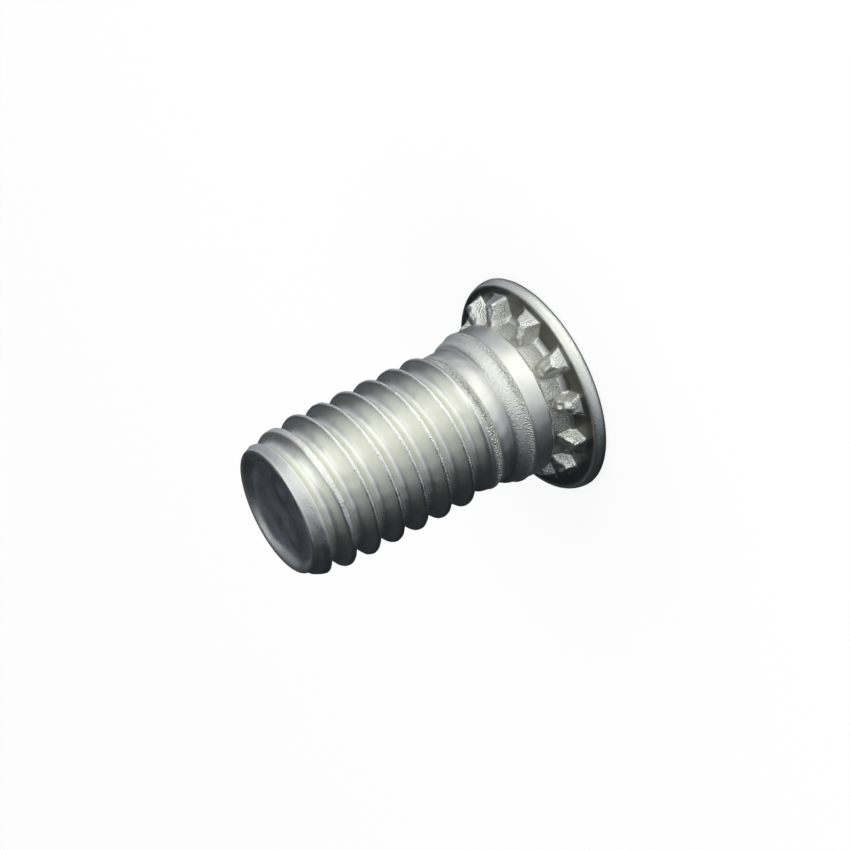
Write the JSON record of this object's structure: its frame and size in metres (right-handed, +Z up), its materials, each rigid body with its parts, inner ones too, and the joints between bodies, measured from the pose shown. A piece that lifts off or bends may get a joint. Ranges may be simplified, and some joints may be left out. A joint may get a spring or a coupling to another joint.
{
  "type": "flush head stud",
  "caption": "Short threaded steel stud with a thin flush head, clinching ribs and a collar, pressed into sheet metal so that its thread stands out.",
  "frame": {"origin": "centre of the head's flat outer face, which the stud stands on", "axes": "+Z up along the stud's axis from the head to the threaded tip; +X and +Y square to it"},
  "size_m": [0.0058, 0.0058, 0.0079],
  "materials": {
    "zinc_steel": "satin zinc plate over cold-formed steel"
  },
  "bodies": {
    "root": {"stud": "zinc_steel"}
  },
  "joints": []
}
